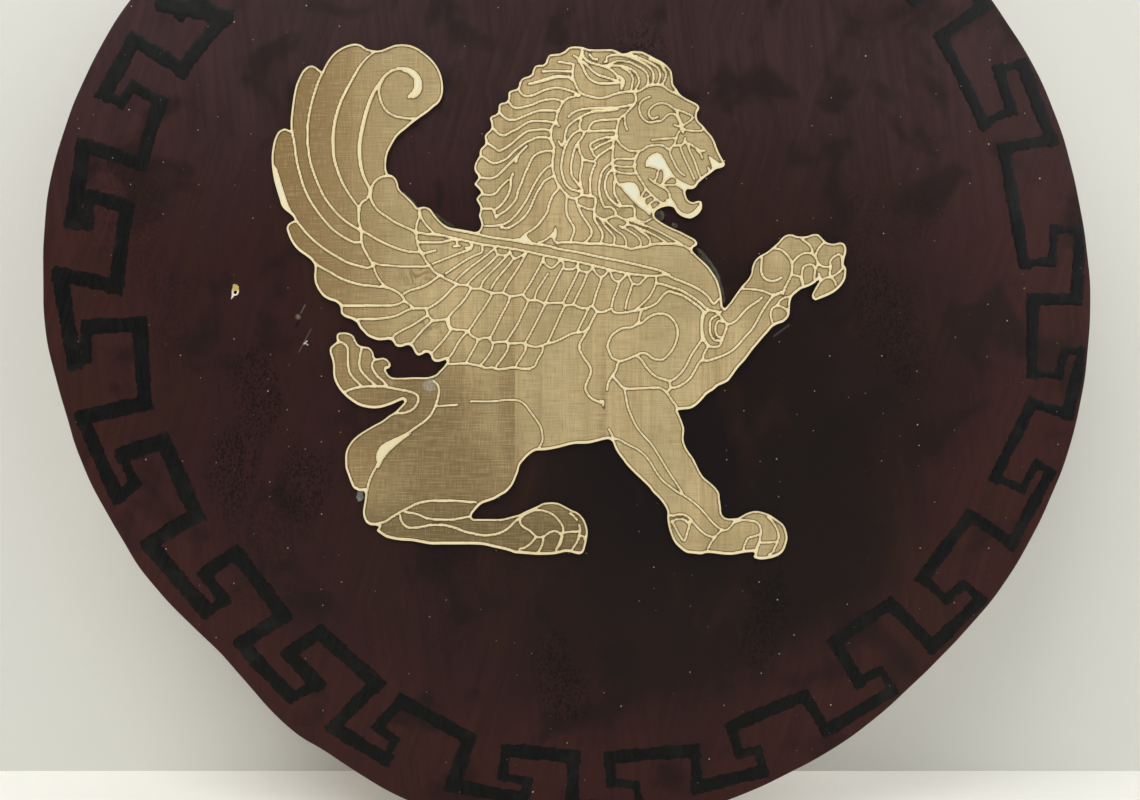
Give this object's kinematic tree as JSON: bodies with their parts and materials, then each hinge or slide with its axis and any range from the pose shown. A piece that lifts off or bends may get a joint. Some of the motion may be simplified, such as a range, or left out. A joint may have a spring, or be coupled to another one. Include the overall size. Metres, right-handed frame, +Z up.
{
  "type": "shield",
  "caption": "Round flat plywood shield with a glued winged lion in thin plywood, a painted key border, and a leather arm band and hand grip on its back.",
  "frame": {"origin": "centre of the board's flat back face, inside the arm band, where the forearm lies", "axes": "+Y out of the back towards the bearer, -Y out of the decorated front, +Z up, +X to the right of someone who looks at the front"},
  "size_m": [0.7982, 0.1065, 0.7994],
  "materials": {
    "board_paint": "plywood under brushed dark maroon paint, semi-gloss",
    "key_paint": "brushed black paint film, satin",
    "engraved_plywood": "laser-engraved pale plywood, matte",
    "hot_glue": "translucent hot-melt glue, glossy",
    "leather": "vegetable-tanned strap leather with burnished edges",
    "zinc_steel": "zinc-plated steel"
  },
  "bodies": {
    "root": {"board": "board_paint", "key_border": "key_paint", "winged_lion": "engraved_plywood", "glue_bead_wing_upper": "hot_glue", "glue_bead_wing_lower": "hot_glue", "glue_bead_chest": "hot_glue", "glue_bead_throat": "hot_glue", "glue_bead_hock": "hot_glue", "glue_drip_neck": "hot_glue", "arm_band": "leather", "hand_grip": "leather", "arm_band_washer_1": "zinc_steel", "arm_band_washer_2": "zinc_steel", "arm_band_washer_3": "zinc_steel", "arm_band_washer_4": "zinc_steel", "arm_band_screw_1": "zinc_steel", "arm_band_screw_2": "zinc_steel", "arm_band_screw_3": "zinc_steel", "arm_band_screw_4": "zinc_steel", "hand_grip_washer_1": "zinc_steel", "hand_grip_washer_2": "zinc_steel", "hand_grip_washer_3": "zinc_steel", "hand_grip_washer_4": "zinc_steel", "hand_grip_screw_1": "zinc_steel", "hand_grip_screw_2": "zinc_steel", "hand_grip_screw_3": "zinc_steel", "hand_grip_screw_4": "zinc_steel"}
  },
  "joints": []
}
